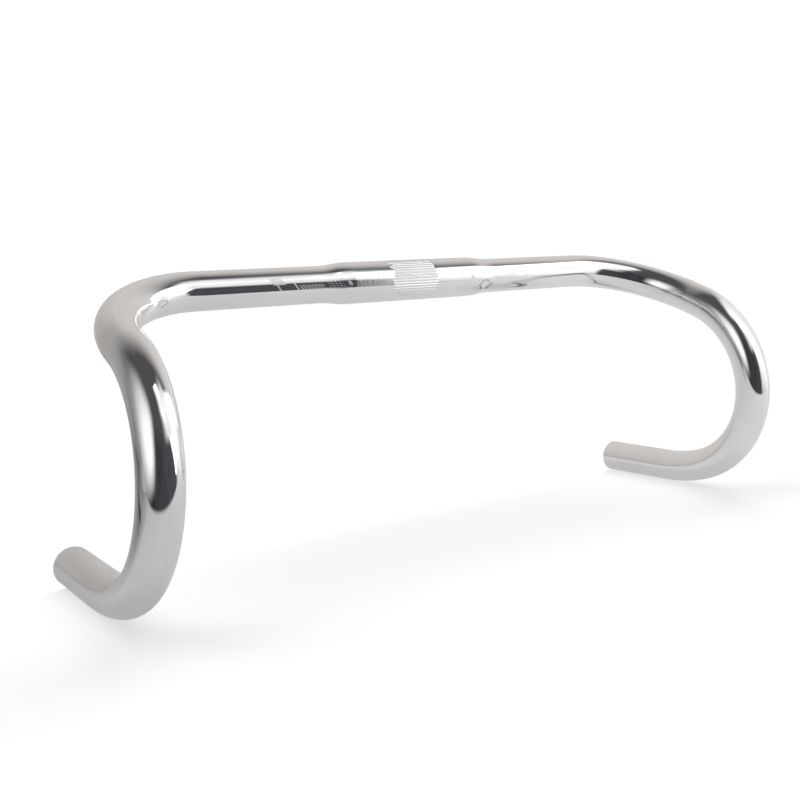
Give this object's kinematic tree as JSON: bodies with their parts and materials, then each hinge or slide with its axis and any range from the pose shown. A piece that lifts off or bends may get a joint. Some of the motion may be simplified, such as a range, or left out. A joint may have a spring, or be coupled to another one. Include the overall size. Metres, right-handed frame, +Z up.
{
  "type": "drop handlebar",
  "caption": "Drop handlebar: polished tube with a thick grooved middle for the stem clamp, hooks for hands and brake levers, and plugged ends.",
  "frame": {"origin": "centre of the stem clamp zone, on the tube's axis", "axes": "+X along the tops to the rider's left, -Y the riding direction, +Z up with the bar ends level"},
  "size_m": [0.4568, 0.1418, 0.1715],
  "materials": {
    "polished_aluminium": "polished, with satin bar ends",
    "mill_aluminium": "as drawn",
    "plug_plastic": "moulded, silver grey"
  },
  "bodies": {
    "bar": {"handlebar_tube": "polished_aluminium", "clamp_liner": "mill_aluminium"},
    "left_plug": {"left_end_plug": "plug_plastic"},
    "right_plug": {"right_end_plug": "plug_plastic"}
  },
  "joints": [
    {"name": "left_plug_pull", "type": "slide", "parent": "bar", "child": "left_plug", "axis": [-0.0227, 0.9997, 0], "range_m": [0, 0.03]},
    {"name": "right_plug_pull", "type": "slide", "parent": "bar", "child": "right_plug", "axis": [0.0227, 0.9997, 0], "range_m": [0, 0.03]}
  ]
}
